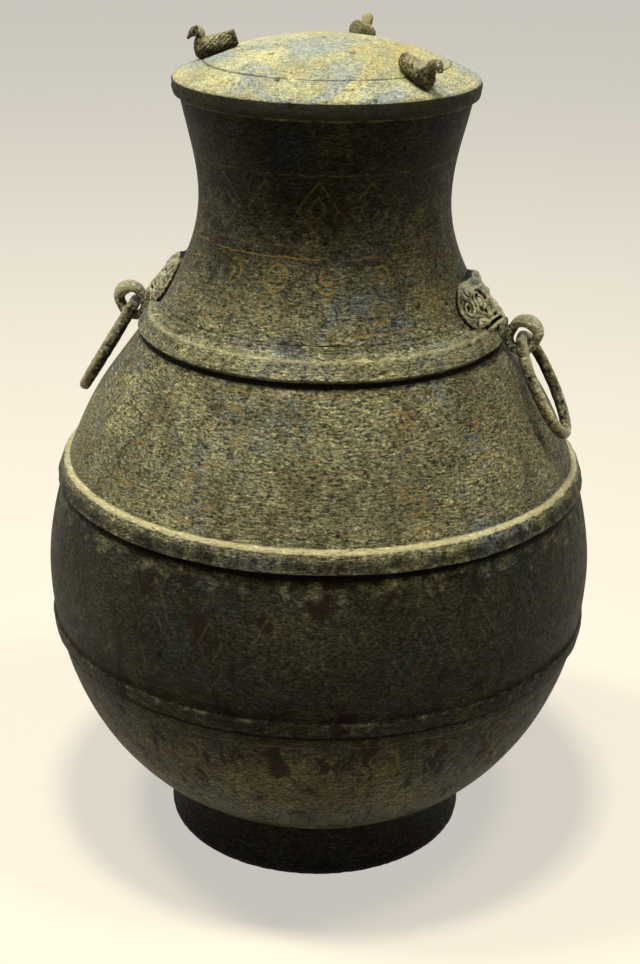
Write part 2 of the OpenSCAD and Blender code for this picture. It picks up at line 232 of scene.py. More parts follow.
def turning_tree():
    """Geometry Nodes that turn an object's own line of points round the z axis."""
    tree = bpy.data.node_groups.new("turned casting", "GeometryNodeTree")
    tree.is_modifier = True
    face = tree.interface
    face.new_socket("Line", in_out="INPUT", socket_type="NodeSocketGeometry")
    for name, kind, value in (("Steps round", "NodeSocketInt", 240), ("Waver", "NodeSocketFloat", 0.0003),
                              ("Dip", "NodeSocketFloat", 0.0003), ("Dip size", "NodeSocketFloat", 0.03),
                              ("Chip", "NodeSocketFloat", 0.0), ("Chip size", "NodeSocketFloat", 0.0024),
                              ("Seed", "NodeSocketFloat", 1.0)):
        face.new_socket(name, in_out="INPUT", socket_type=kind).default_value = value
    face.new_socket("Finish", in_out="INPUT", socket_type="NodeSocketMaterial")
    face.new_socket("Casting", in_out="OUTPUT", socket_type="NodeSocketGeometry")
    start = tree.nodes.new("NodeGroupInput").outputs
    count = add(tree, "GeometryNodeAttributeDomainSize", {0: start["Line"]}, component="MESH")
    columns = add(tree, "ShaderNodeMath", {0: start["Steps round"], 1: 1.0}, operation="ADD")
    grid = add(tree, "GeometryNodeMeshGrid", {0: 1.0, 1: 1.0, 2: count, 3: columns})
    where = add(tree, "ShaderNodeSeparateXYZ", {0: add(tree, "GeometryNodeInputPosition")}).node.outputs
    along = add(tree, "ShaderNodeMath", {0: where[0], 1: 0.5}, operation="ADD")
    last = add(tree, "ShaderNodeMath", {0: count, 1: 1.0}, operation="SUBTRACT")
    row = add(tree, "ShaderNodeMath", {0: along, 1: last}, operation="MULTIPLY")
    row = add(tree, "ShaderNodeMath", {0: row}, operation="ROUND")
    half_turns = add(tree, "ShaderNodeMath", {0: where[1], 1: 0.5}, operation="ADD")
    angle = add(tree, "ShaderNodeMath", {0: half_turns, 1: 2 * math.pi}, operation="MULTIPLY")
    spot = add(tree, "GeometryNodeSampleIndex", {0: start["Line"], 1: add(tree, "GeometryNodeInputPosition"),
                                                 2: row}, data_type="FLOAT_VECTOR")
    loose = add(tree, "GeometryNodeInputNamedAttribute", {0: "loose"}, data_type="FLOAT")
    loose = add(tree, "GeometryNodeSampleIndex", {0: start["Line"], 1: loose, 2: row}, data_type="FLOAT")
    edge = add(tree, "GeometryNodeInputNamedAttribute", {0: "edge"}, data_type="FLOAT")
    edge = add(tree, "GeometryNodeSampleIndex", {0: start["Line"], 1: edge, 2: row}, data_type="FLOAT")
    spot = add(tree, "ShaderNodeSeparateXYZ", {0: spot}).node.outputs
    cosine = add(tree, "ShaderNodeMath", {0: angle}, operation="COSINE")
    sine = add(tree, "ShaderNodeMath", {0: angle}, operation="SINE")
    turned = add(tree, "ShaderNodeCombineXYZ", {
        0: add(tree, "ShaderNodeMath", {0: spot[0], 1: cosine}, operation="MULTIPLY"),
        1: add(tree, "ShaderNodeMath", {0: spot[0], 1: sine}, operation="MULTIPLY"), 2: spot[2]})
    # The waver lifts and lowers a stretch of the wall by a slow noise round the vessel
    circle = add(tree, "ShaderNodeCombineXYZ", {0: cosine, 1: sine, 2: spot[2]})
    slow = add(tree, "ShaderNodeTexNoise", {"Vector": circle, "W": start["Seed"], "Scale": 3.2,
                                            "Detail": 2.0}, noise_dimensions="4D")
    slow = add(tree, "ShaderNodeMath", {0: slow, 1: 0.5}, operation="SUBTRACT")
    slow = add(tree, "ShaderNodeMath", {0: slow, 1: 2.4}, operation="MULTIPLY")
    slow = add(tree, "ShaderNodeMath", {0: slow, 1: start["Waver"]}, operation="MULTIPLY")
    slow = add(tree, "ShaderNodeMath", {0: slow, 1: loose}, operation="MULTIPLY")
    shaped = add(tree, "GeometryNodeSetPosition", {0: grid, 2: turned,
                                                   3: add(tree, "ShaderNodeCombineXYZ", {2: slow})})
    merged = add(tree, "GeometryNodeMergeByDistance", {0: shaped, 2: 0.00001})
    # The grid's faces look inwards, so they are flipped before dips and chips sink the surface
    merged = add(tree, "GeometryNodeFlipFaces", {0: merged})
    size = add(tree, "ShaderNodeMath", {0: 1.0, 1: start["Dip size"]}, operation="DIVIDE")
    dips = add(tree, "ShaderNodeTexNoise", {"Vector": add(tree, "GeometryNodeInputPosition"),
                                            "W": start["Seed"], "Scale": size, "Detail": 3.0},
               noise_dimensions="4D")
    deep = add(tree, "ShaderNodeMath", {0: dips, 1: start["Dip"]}, operation="MULTIPLY")
    chips = add(tree, "ShaderNodeTexNoise", {"Vector": add(tree, "GeometryNodeInputPosition"),
                                             "W": start["Seed"], "Detail": 4.0, "Scale": add(
                                                 tree, "ShaderNodeMath", {0: 1.0, 1: start["Chip size"]},
                                                 operation="DIVIDE")}, noise_dimensions="4D")
    chips = add(tree, "ShaderNodeMapRange", {0: chips, 1: 0.47, 2: 0.68})
    chips = add(tree, "ShaderNodeMath", {0: chips, 1: start["Chip"]}, operation="MULTIPLY")
    rim = add(tree, "GeometryNodeInputNamedAttribute", {0: "edge"}, data_type="FLOAT")
    chips = add(tree, "ShaderNodeMath", {0: chips, 1: rim}, operation="MULTIPLY")
    depth = add(tree, "ShaderNodeMath", {0: deep, 1: chips}, operation="ADD")
    inward = add(tree, "ShaderNodeVectorMath", {
        0: add(tree, "GeometryNodeInputNormal"),
        "Scale": add(tree, "ShaderNodeMath", {0: depth, 1: -1.0}, operation="MULTIPLY")}, operation="SCALE")
    worn = add(tree, "GeometryNodeSetPosition", {0: merged, 3: inward})
    smooth = add(tree, "GeometryNodeSetShadeSmooth", {0: worn})
    real = add(tree, "GeometryNodeRealizeInstances", {0: smooth})
    done = add(tree, "GeometryNodeSetMaterial", {0: real, 2: start["Finish"]})
    add(tree, "NodeGroupOutput", {0: done})
    # The edge weight is kept on the new points, so that chips sit on edges only
    keep = add(tree, "GeometryNodeStoreNamedAttribute", {0: grid, 2: "edge", 3: edge}, data_type="FLOAT",
               domain="POINT")
    tree.links.new(keep, shaped.node.inputs[0])
    return tree


turned_casting = turning_tree()


def turn(name, profile, finish, steps, waver=0.0, dip=0.0, dip_size=0.03, chip=0.0, chip_size=0.0024,
         seed=1.0, loose=None, edge=None):
    """A plain mesh object: the profile, in mm, turned round the axis by the node tree."""
    line = bpy.data.meshes.new(name + "_line")
    line.from_pydata([(r * mm, 0, h * mm) for r, h in profile],
                     [(i, i + 1) for i in range(len(profile) - 1)], [])
    for key, weights in (("loose", loose), ("edge", edge)):
        weights = np.ones(len(profile)) if weights is None else weights
        line.attributes.new(key, "FLOAT", "POINT").data.foreach_set("value", np.asarray(weights, np.float32))
    thing = bpy.data.objects.new(name, line)
    scene.collection.objects.link(thing)
    change = thing.modifiers.new("turned casting", "NODES")
    change.node_group = turned_casting
    values = {"Steps round": steps, "Waver": waver, "Dip": dip, "Dip size": dip_size, "Chip": chip,
              "Chip size": chip_size, "Seed": seed, "Finish": finish}
    for item in turned_casting.interface.items_tree:
        if item.in_out == "INPUT" and item.name in values:
            change[item.identifier] = values[item.name]
    bpy.context.view_layer.update()
    made = bpy.data.meshes.new_from_object(thing.evaluated_get(bpy.context.evaluated_depsgraph_get()))
    thing.modifiers.remove(change)
    thing.data = made
    made.name = name
    points = np.zeros(len(made.vertices) * 3)
    made.vertices.foreach_get("co", points)
    points = points.reshape(-1, 3)
    made.calc_loop_triangles()
    tris = np.zeros(len(made.loop_triangles) * 3, int)
    made.loop_triangles.foreach_get("vertices", tris)
    a, b, c = (points[tris.reshape(-1, 3)[:, k]] for k in range(3))
    volume = float(np.einsum("ij,ij->i", a, np.cross(b, c)).sum())
    if volume < 0:
        made.flip_normals()
    return thing


def mark(thing, name, values):
    """Stores one number a point on a mesh, which its finish reads: 0.5 is plain, 1 is lightest,
    for bare worn spots and painted highlights, and 0 or less is darkest, for grime and painted shade."""
    layer = thing.data.attributes.new(name, "FLOAT", "POINT")
    layer.data.foreach_set("value", np.clip(np.asarray(values), -1, 1).astype(np.float32))


def points_of(thing):
    points = np.zeros(len(thing.data.vertices) * 3)
    thing.data.vertices.foreach_get("co", points)
    return points.reshape(-1, 3) / mm


def patinated_bronze(name, dark, mid, light, cool, stain, rubbed_and_painted_light, sunk_and_shade, seed=0.0, gloss=0.5, grain=1.0,
                     clouds=0.02, lie=0.32, speckle=1.0, coarse=1.0, extra=None):
    """Old leaded tin bronze: a patina of mixed oxides over cast metal, matt, with a low metallic
    sheen, fine wrinkles that run round the casting, pits, and bare spots where it is worn; the
    mesh's marks also lay on painted highlights and painted shade, and light specks are painted glints."""
    made = bpy.data.materials.new(name)
    made.use_nodes = True
    tree = made.node_tree
    tree.nodes.clear()
    spot = add(tree, "ShaderNodeTexCoord", out=3)
    spot = add(tree, "ShaderNodeVectorMath", {0: spot, 1: (seed * 0.37, seed * 0.21, seed * 0.13)},
               operation="ADD")
    # Patches of 34 mm and mottling of 6 mm choose among the patina's tones
    patches = add(tree, "ShaderNodeTexNoise", {"Vector": spot, "Scale": 1000 / 34, "Detail": 5.0,
                                               "Roughness": 0.62, "Distortion": 0.6})
    mottle = add(tree, "ShaderNodeTexNoise", {"Vector": spot, "Scale": 1000 / 6, "Detail": 6.0,
                                              "Roughness": 0.7})
    # Casting wrinkles are about 1 mm high; on the body they lie level and are three times as long
    flat = add(tree, "ShaderNodeMapping", {"Vector": spot, "Scale": (lie, lie, 1.0)})
    wrinkle = add(tree, "ShaderNodeTexNoise", {"Vector": flat, "Scale": 1000 / (1.05 * coarse),
                                               "Detail": 5.0, "Roughness": 0.68, "Distortion": 0.2})
    level = add(tree, "ShaderNodeMapping", {"Vector": spot, "Scale": (lie ** 0.5, lie ** 0.5, 1.0)})
    fleck = add(tree, "ShaderNodeTexNoise", {"Vector": level, "Scale": 1000 / (0.8 * coarse), "Detail": 3.0,
                                             "Roughness": 0.65})
    blend = add(tree, "ShaderNodeMath", {0: patches, 1: 0.68}, operation="MULTIPLY")
    blend = add(tree, "ShaderNodeMath", {0: mottle, 1: 0.16, 2: blend}, operation="MULTIPLY_ADD")
    blend = add(tree, "ShaderNodeMath", {0: fleck, 1: 0.16, 2: blend}, operation="MULTIPLY_ADD")
    tones = add(tree, "ShaderNodeValToRGB", {0: blend}).node
    tones.color_ramp.elements[0].position = 0.34
    tones.color_ramp.elements[0].color = colour(dark)
    tones.color_ramp.elements[1].position = 0.66
    tones.color_ramp.elements[1].color = colour(light)
    tones.color_ramp.elements.new(0.50).color = colour(mid)
    # Blue-grey bloom and a brown stain lie in clouds about 42 mm wide
    bloom = add(tree, "ShaderNodeTexNoise", {"Vector": spot, "Scale": 1000 / 42, "Detail": 7.0,
                                             "Roughness": 0.72, "Distortion": 1.1})
    blue = add(tree, "ShaderNodeMapRange", {0: bloom, 1: 0.53 - clouds, 2: 0.66 - clouds, 3: 0.0, 4: 0.65})
    brown = add(tree, "ShaderNodeMapRange", {0: bloom, 1: 0.45, 2: 0.34, 3: 0.0, 4: 0.5})
    tint = add(tree, "ShaderNodeMix", {0: blue, 6: tones.outputs[0], 7: colour(cool)}, out=2,
               data_type="RGBA")
    tint = add(tree, "ShaderNodeMix", {0: brown, 6: tint, 7: colour(stain)}, out=2, data_type="RGBA")
    # Small flakes where a lighter or a darker crust is left, and fine flecks
    crust = add(tree, "ShaderNodeMapRange", {0: mottle, 1: 0.60, 2: 0.70, 3: 1.0, 4: 1.3})
    tint = add(tree, "ShaderNodeVectorMath", {0: tint, "Scale": crust}, operation="SCALE")
    grit = add(tree, "ShaderNodeMath", {0: fleck, 1: wrinkle}, operation="ADD")
    speck = add(tree, "ShaderNodeMapRange", {
        0: grit, 1: 0.82, 2: 1.20, 3: max(0.1, 1 - 0.72 * speckle), 4: 1 + speckle})
    tint = add(tree, "ShaderNodeVectorMath", {0: tint, "Scale": speck}, operation="SCALE")
    # Cold shuts: thin level cracks in the cast skin, dark and sunk, with a light lip
    crack = add(tree, "ShaderNodeTexNoise", {"Vector": flat, "Scale": 1000 / 6.5, "Detail": 4.0,
                                             "Roughness": 0.6, "Distortion": 0.5})
    crack = add(tree, "ShaderNodeMath", {0: crack, 1: 0.5}, operation="SUBTRACT")
    lip = add(tree, "ShaderNodeMapRange", {0: crack, 1: 0.008, 2: 0.040, 3: 1.0, 4: 0.0})
    crack = add(tree, "ShaderNodeMath", {0: crack}, operation="ABSOLUTE")
    crack = add(tree, "ShaderNodeMapRange", {0: crack, 1: 0.006, 2: 0.020, 3: 1.0, 4: 0.0})
    chance = add(tree, "ShaderNodeMapRange", {0: patches, 1: 0.40, 2: 0.60, 3: 0.30, 4: 0.95})
    crack = add(tree, "ShaderNodeMath", {0: crack, 1: chance}, operation="MULTIPLY")
    lip = add(tree, "ShaderNodeMath", {0: lip, 1: chance}, operation="MULTIPLY")
    shade = add(tree, "ShaderNodeMath", {0: crack, 1: 0.55}, operation="MULTIPLY")
    tint = add(tree, "ShaderNodeMix", {0: shade, 6: tint, 7: colour(sunk_and_shade)}, out=2, data_type="RGBA")
    height = add(tree, "ShaderNodeMath", {0: wrinkle, 1: 1.25}, operation="MULTIPLY")
    height = add(tree, "ShaderNodeMath", {0: fleck, 1: 0.9, 2: height}, operation="MULTIPLY_ADD")
    height = add(tree, "ShaderNodeMath", {0: mottle, 1: 0.6, 2: height}, operation="MULTIPLY_ADD")
    height = add(tree, "ShaderNodeMath", {0: crack, 1: -0.20, 2: height}, operation="MULTIPLY_ADD")
    height = add(tree, "ShaderNodeMath", {0: lip, 1: 0.06, 2: height}, operation="MULTIPLY_ADD")
    # Pits of 2 to 3 mm, dark inside
    cells = add(tree, "ShaderNodeTexVoronoi", {"Vector": add(
        tree, "ShaderNodeVectorMath", {0: spot, 1: add(tree, "ShaderNodeVectorMath", {
            0: fleck.node.outputs[1], "Scale": 0.0016}, operation="SCALE")}, operation="ADD"),
        "Scale": 1000 / 8.5, "Randomness": 1.0}).node
    pick = add(tree, "ShaderNodeSeparateColor", {0: cells.outputs["Color"]})
    pick = add(tree, "ShaderNodeMath", {0: pick, 1: 0.80}, operation="GREATER_THAN")
    pit = add(tree, "ShaderNodeMapRange", {0: cells.outputs["Distance"], 1: 0.10, 2: 0.20, 3: 1.0, 4: 0.0})
    pit = add(tree, "ShaderNodeMath", {0: pit, 1: pick}, operation="MULTIPLY")
    shade = add(tree, "ShaderNodeMath", {0: pit, 1: 0.7}, operation="MULTIPLY")
    tint = add(tree, "ShaderNodeMix", {0: shade, 6: tint, 7: colour(sunk_and_shade)}, out=2, data_type="RGBA")
    height = add(tree, "ShaderNodeMath", {0: pit, 1: -0.5, 2: height}, operation="MULTIPLY_ADD")
    if extra:
        tint, height = extra(tree, spot, tint, height)
    # Marks on the mesh: high places are worn to a lighter tone and hollows keep dark grime; the same
    # marks also lay on painted highlights and painted shade
    wear_and_painted_light = add(tree, "ShaderNodeAttribute", out=2, attribute_name="wear_and_painted_light")
    broken = add(tree, "ShaderNodeMath", {0: mottle, 1: 0.5}, operation="SUBTRACT")
    wear_and_painted_light = add(tree, "ShaderNodeMath", {0: broken, 1: 0.55, 2: wear_and_painted_light}, operation="MULTIPLY_ADD")
    rubbed_shine_and_highlight = add(tree, "ShaderNodeMapRange", {0: wear_and_painted_light, 1: 0.58, 2: 0.95, 3: 0.0, 4: 0.6})
    dirt_and_painted_shade = add(tree, "ShaderNodeMapRange", {0: wear_and_painted_light, 1: 0.40, 2: 0.10, 3: 0.0, 4: 0.94})
    tint = add(tree, "ShaderNodeMix", {0: rubbed_shine_and_highlight, 6: tint, 7: colour(rubbed_and_painted_light)}, out=2, data_type="RGBA")
    tint = add(tree, "ShaderNodeMix", {0: dirt_and_painted_shade, 6: tint, 7: colour(sunk_and_shade)}, out=2, data_type="RGBA")
    # Painted glints: light specks that stand in for sparkle; and specks of black grime
    painted_glint = add(tree, "ShaderNodeMapRange", {0: grit, 1: 1.14, 2: 1.34, 3: 1.0, 4: 1 + 0.85 * speckle})
    tint = add(tree, "ShaderNodeVectorMath", {0: tint, "Scale": painted_glint}, operation="SCALE")
    soil = add(tree, "ShaderNodeMapRange", {0: grit, 1: 0.86, 2: 0.72, 3: 0.0, 4: 0.7})
    tint = add(tree, "ShaderNodeMix", {0: soil, 6: tint, 7: colour(sunk_and_shade)}, out=2, data_type="RGBA")
    rough = add(tree, "ShaderNodeMapRange", {0: mottle, 1: 0.3, 2: 0.7, 3: gloss - 0.09, 4: gloss + 0.12})
    rough = add(tree, "ShaderNodeMath", {0: rubbed_shine_and_highlight, 1: -0.10, 2: rough}, operation="MULTIPLY_ADD")
    glint = add(tree, "ShaderNodeMapRange", {0: fleck, 1: 0.56, 2: 0.66, 3: 0.0, 4: -0.14})
    rough = add(tree, "ShaderNodeMath", {0: glint, 1: rough}, operation="ADD")
    bump = add(tree, "ShaderNodeBump", {"Height": height, "Strength": 1.0, "Distance": 0.0028 * grain})
    shader = add(tree, "ShaderNodeBsdfPrincipled", {
        "Base Color": tint, "Roughness": rough, "Normal": bump, "Metallic": 0.2,
        "Specular IOR Level": 0.04})
    add(tree, "ShaderNodeOutputMaterial", {0: shader})
    return made


def inlay(tree, spot, tint, height):
    """Rows of worn inlay round the body: copper lines, and the grooves where they are lost."""
    where = add(tree, "ShaderNodeTexCoord", out=3)
    where = add(tree, "ShaderNodeSeparateXYZ", {0: where}).node.outputs
    turns = add(tree, "ShaderNodeMath", {0: where[1], 1: where[0]}, operation="ARCTAN2")
    turns = add(tree, "ShaderNodeMath", {0: turns, 1: 2 * math.pi}, operation="DIVIDE")
    shake = add(tree, "ShaderNodeTexNoise", {"Vector": spot, "Scale": 1000 / 7, "Detail": 2.0})
    shake = add(tree, "ShaderNodeMath", {0: shake, 1: 0.5}, operation="SUBTRACT")
    level = add(tree, "ShaderNodeMath", {0: shake, 1: 0.003, 2: where[2]}, operation="MULTIPLY_ADD")
    # The neck is painted darker where the lid's shadow falls: painted shade. Under the middle band
    # the belly is far darker, partly a browner patina and partly painted shade, and over the foot
    # it is lighter again: painted light, as the floor throws light up. Each row has the height where
    # a change starts, where it is full, and its strength.
    border = add(tree, "ShaderNodeMath", {0: shake, 1: 0.04, 2: where[2]}, operation="MULTIPLY_ADD")
    neck_painted_shade, belly_shade_and_patina, low_painted_light = (0.272, 0.328, 0.13), (0.194, 0.178, 0.145), (0.114, 0.070, 3.3)
    for start_z, full_z, strength in (neck_painted_shade, belly_shade_and_patina, low_painted_light):
        shade = add(tree, "ShaderNodeMapRange", {0: border, 1: start_z, 2: full_z, 3: 1.0, 4: strength})
        tint = add(tree, "ShaderNodeVectorMath", {0: tint, "Scale": shade}, operation="SCALE")
    total = None
    for low, high, count, radius, motif, left in (
            (276, 305, 17, 66, "comma", 1.0), (311, 341, 16, 59, "lozenge", 0.34),
            (203, 252, 16, 100, "comma", 0.9), (125, 181, 28, 130, "lozenge", 0.14),
            (64, 104, 26, 112, "comma", 0.4)):
        width = 2 * math.pi * radius / count
        cell = add(tree, "ShaderNodeMath", {0: turns, 1: float(count)}, operation="MULTIPLY")
        cell = add(tree, "ShaderNodeMath", {0: shake, 1: 0.12, 2: cell}, operation="MULTIPLY_ADD")
        index = add(tree, "ShaderNodeMath", {0: cell}, operation="FLOOR")
        x = add(tree, "ShaderNodeMath", {0: cell, 1: index}, operation="SUBTRACT")
        x = add(tree, "ShaderNodeMath", {0: x, 1: 0.5}, operation="SUBTRACT")
        x = add(tree, "ShaderNodeMath", {0: x, 1: width}, operation="MULTIPLY")
        y = add(tree, "ShaderNodeMath", {0: level, 1: 1000.0, 2: -(low + high) / 2},
                operation="MULTIPLY_ADD")
        half = (high - low) / 2
        if motif == "lozenge":
            # Two nested lozenges
            ax = add(tree, "ShaderNodeMath", {0: x}, operation="ABSOLUTE")
            ay = add(tree, "ShaderNodeMath", {0: y}, operation="ABSOLUTE")
            slant = add(tree, "ShaderNodeMath", {0: ay, 1: width * 0.42 / (half * 0.86), 2: ax},
                       operation="MULTIPLY_ADD")
            one = add(tree, "ShaderNodeMath", {0: slant, 1: width * 0.40}, operation="SUBTRACT")
            one = add(tree, "ShaderNodeMath", {0: one}, operation="ABSOLUTE")
            two = add(tree, "ShaderNodeMath", {0: slant, 1: width * 0.19}, operation="SUBTRACT")
            two = add(tree, "ShaderNodeMath", {0: two}, operation="ABSOLUTE")
            line = add(tree, "ShaderNodeMath", {0: one, 1: two}, operation="MINIMUM")
        else:
            # Two turned commas: spirals that run up and down from the cell's middle
            fold = add(tree, "ShaderNodeMath", {0: y}, operation="SIGN")
            fx = add(tree, "ShaderNodeMath", {0: x, 1: fold}, operation="MULTIPLY")
            fy = add(tree, "ShaderNodeMath", {0: y}, operation="ABSOLUTE")
            fy = add(tree, "ShaderNodeMath", {0: fy, 1: half * 0.5}, operation="SUBTRACT")
            ring = add(tree, "ShaderNodeVectorMath", {0: add(tree, "ShaderNodeCombineXYZ", {0: fx, 1: fy})},
                       out=1, operation="LENGTH")
            bend = add(tree, "ShaderNodeMath", {0: fy, 1: fx}, operation="ARCTAN2")
            pitch = half * 0.24
            coil = add(tree, "ShaderNodeMath", {0: ring, 1: pitch}, operation="DIVIDE")
            coil = add(tree, "ShaderNodeMath", {0: bend, 1: 1 / (2 * math.pi), 2: coil},
                       operation="MULTIPLY_ADD")
            coil = add(tree, "ShaderNodeMath", {0: coil}, operation="FRACT")
            coil = add(tree, "ShaderNodeMath", {0: coil, 1: 0.5}, operation="SUBTRACT")
            coil = add(tree, "ShaderNodeMath", {0: coil}, operation="ABSOLUTE")
            coil = add(tree, "ShaderNodeMath", {0: coil, 1: pitch}, operation="MULTIPLY")
            far = add(tree, "ShaderNodeMath", {0: ring, 1: half * 0.46}, operation="GREATER_THAN")
            line = add(tree, "ShaderNodeMath", {0: far, 1: 9.0, 2: coil}, operation="MULTIPLY_ADD")
        drawn = add(tree, "ShaderNodeMapRange", {0: line, 1: 0.50, 2: 0.78, 3: 1.0, 4: 0.0})
        inside = add(tree, "ShaderNodeMath", {0: y}, operation="ABSOLUTE")
        inside = add(tree, "ShaderNodeMath", {0: inside, 1: half}, operation="LESS_THAN")
        drawn = add(tree, "ShaderNodeMath", {0: drawn, 1: inside}, operation="MULTIPLY")
        # A border line above and below the row
        rule = add(tree, "ShaderNodeMath", {0: y}, operation="ABSOLUTE")
        rule = add(tree, "ShaderNodeMath", {0: rule, 1: half + 0.6}, operation="SUBTRACT")
        rule = add(tree, "ShaderNodeMath", {0: rule}, operation="ABSOLUTE")
        rule = add(tree, "ShaderNodeMapRange", {0: rule, 1: 0.30, 2: 0.48, 3: 1.0, 4: 0.0})
        drawn = add(tree, "ShaderNodeMath", {0: drawn, 1: rule}, operation="MAXIMUM")
        drawn = add(tree, "ShaderNodeMath", {0: drawn, 1: left}, operation="MULTIPLY")
        total = drawn if total is None else add(tree, "ShaderNodeMath", {0: total, 1: drawn},
                                                operation="MAXIMUM")
    # Red-brown spots of 3 to 5 mm, where a crust of copper oxide is left
    blot = add(tree, "ShaderNodeTexNoise", {"Vector": add(
        tree, "ShaderNodeMapping", {"Vector": spot, "Scale": (1.0, 1.0, 0.48)}), "Scale": 1000 / 11,
        "Detail": 4.0, "Roughness": 0.68, "Distortion": 0.5})
    deep = add(tree, "ShaderNodeMapRange", {
        0: border, 1: belly_shade_and_patina[0], 2: belly_shade_and_patina[1], 3: 0.35, 4: 0.92})
    blot = add(tree, "ShaderNodeMapRange", {0: blot, 1: 0.56, 2: 0.62, 3: 0.0, 4: 1.0})
    blot = add(tree, "ShaderNodeMath", {0: blot, 1: deep}, operation="MULTIPLY")
    tint = add(tree, "ShaderNodeMix", {0: blot, 6: tint, 7: colour("#20150f")}, out=2, data_type="RGBA")
    # Wear leaves the inlay in islands of about 20 mm
    islands = add(tree, "ShaderNodeTexNoise", {"Vector": spot, "Scale": 1000 / 19, "Detail": 5.0,
                                               "Roughness": 0.72, "Distortion": 0.8})
    kept = add(tree, "ShaderNodeMapRange", {0: islands, 1: 0.45, 2: 0.54, 3: 0.0, 4: 0.72})
    lost = add(tree, "ShaderNodeMapRange", {0: islands, 1: 0.44, 2: 0.34, 3: 0.0, 4: 0.7})
    copper = add(tree, "ShaderNodeMath", {0: total, 1: kept}, operation="MULTIPLY")
    groove = add(tree, "ShaderNodeMath", {0: total, 1: lost}, operation="MULTIPLY")
    tint = add(tree, "ShaderNodeMix", {0: copper, 6: tint, 7: colour("#8a7340")}, out=2, data_type="RGBA")
    tint = add(tree, "ShaderNodeMix", {0: groove, 6: tint, 7: colour("#2c241a")}, out=2, data_type="RGBA")
    height = add(tree, "ShaderNodeMath", {0: groove, 1: -0.6, 2: height}, operation="MULTIPLY_ADD")
    return tint, height


body_finish = patinated_bronze(
    "old bronze, olive patina with worn copper inlay", "#504f3b", "#6e6d54", "#8f8c66", "#5c676e",
    "#5d4f39", "#e4ddaa", "#14120c", seed=1.0, gloss=0.48, speckle=1.0, extra=inlay)
body_loose = np.ones(len(body_profile))
body_loose[body_profile[:, 1] < 40] = 0
body_loose[body_profile[:, 1] > 350] = 0
body_edge = np.clip((body_profile[:, 0] - wall_r(body_profile[:, 1])) / 1.2, 0, 1)
body = turn("vessel_body_cast", body_profile, body_finish, 288, waver=0.0006, dip=0.0005, dip_size=0.030,
            chip=0.0006, chip_size=0.006, seed=3.0, loose=body_loose, edge=body_edge)
spots = points_of(body)
away = np.hypot(spots[:, 0], spots[:, 1])
raised = np.clip((away - wall_r(spots[:, 2])) / 2.4, -1, 1)
rubbed_and_painted_light = 0.5 + 0.10 * np.clip(raised, 0, 1) + 0.2 * (spots[:, 2] > 364.5)
for band, highlight_below_top, worn, face_painted_shade in (
        (upper_band, 1.7, 0.22, 0), (middle_band, 0.5, 0.75, 0.42), (lower_band, 1.0, 0.06, 0)):
    # A painted shadow lies under each band's lower edge, a painted highlight along its upper edge,
    # and painted shade over the middle band's face
    rubbed_and_painted_light = rubbed_and_painted_light - 1.5 * np.exp(-((spots[:, 2] - band[0] + 0.5) / 0.9) ** 2)
    rubbed_and_painted_light = rubbed_and_painted_light - face_painted_shade * np.exp(-((spots[:, 2] - band[0] - 4.2) / 4.2) ** 2)
    rubbed_and_painted_light = rubbed_and_painted_light + worn * np.exp(-((spots[:, 2] - band[1] + highlight_below_top) / 0.75) ** 2)
rubbed_and_painted_light = rubbed_and_painted_light - 0.45 * np.exp(-((spots[:, 2] - incised_z) / 0.35) ** 2)
mark(body, "wear_and_painted_light", rubbed_and_painted_light)
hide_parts("vessel_body")
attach(body, "vessel")


# The foot ring. It was cast on below the belly: a low flaring ring, thicker where it stands,
# with the darkest colours of all.
foot_r, foot_top_r, foot_wall = 75, 71, 4
foot_profile = np.array([
    [foot_r - foot_wall, 0.6], [foot_r - foot_wall + 0.5, 0.0], [foot_r - 0.9, 0.0], [foot_r - 0.2, 0.4],
    [foot_r, 1.2], [foot_r, 3.0], [foot_r - 0.6, 5.0], [foot_r - 1.4, 8.0], [foot_r - 2.3, 11.5],
    [foot_top_r + 1.1, 14.5], [foot_top_r + 0.7, 18.0], [foot_top_r + 0.3, 22.0], [foot_top_r, 25.0],
    [foot_top_r, foot_h], [foot_top_r - foot_wall, foot_h], [foot_top_r - foot_wall, 20.0],
    [foot_top_r - foot_wall, 14.3], [foot_r - foot_wall - 1.5, 7.0], [foot_r - foot_wall, 0.6]])
foot_finish = patinated_bronze(
    "old bronze, dark foot patina", "#1c1a15", "#2b2922", "#3b382e", "#353b3a", "#2b241c",
    "#6b6750", "#141210", seed=2.0, gloss=0.55)
foot = turn("foot_ring_cast", foot_profile, foot_finish, 240, dip=0.0003, dip_size=0.02,
            chip=0.0003, seed=5.0, edge=(foot_profile[:, 1] < 3.5).astype(float))
spots = points_of(foot)
# The foot's lower edge is worn lighter, and its top, under the belly's overhang, gets painted shade
mark(foot, "wear_and_painted_light", 0.5 + 0.3 * (spots[:, 2] < 2.5) - 0.2 * (spots[:, 2] > 23))
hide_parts("foot_ring")
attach(foot, "vessel")


# The two animal masks. Each is cast in one piece with the loop that grows from its snout and
# with a tenon that goes through the shoulder wall to a flat head inside. The face has a
# snout, eyes, brows, horns and cheeks in relief, with coiled grooves cut into the mould.
mask_low, mask_top, mask_w, mask_relief, mask_widest = 263, 287, 48, 4.2, 0.57
tenon_z, tenon_r, head_r, head_t, head_gap = 277, 4, 7, 2.5, 0.6


def hill(u, t, u0, t0, su, st):
    return np.exp(-((u - u0) / su) ** 2 - ((t - t0) / st) ** 2)


def coil_groove(x, y, x0, y0, reach, pitch, way):
    """Depth from 0 to 1 of a coiled groove about a point, all in mm."""
    dx, dy = (x - x0) * way, y - y0
    away = np.hypot(dx, dy)
    turn_part = (away / pitch + np.arctan2(dy, dx) / (2 * math.pi)) % 1
    cut = np.clip(1 - np.abs(turn_part - 0.5) / 0.24, 0, 1)
    return cut * np.clip((reach - away) / 0.5, 0, 1) * np.clip(away / 0.6, 0, 1)


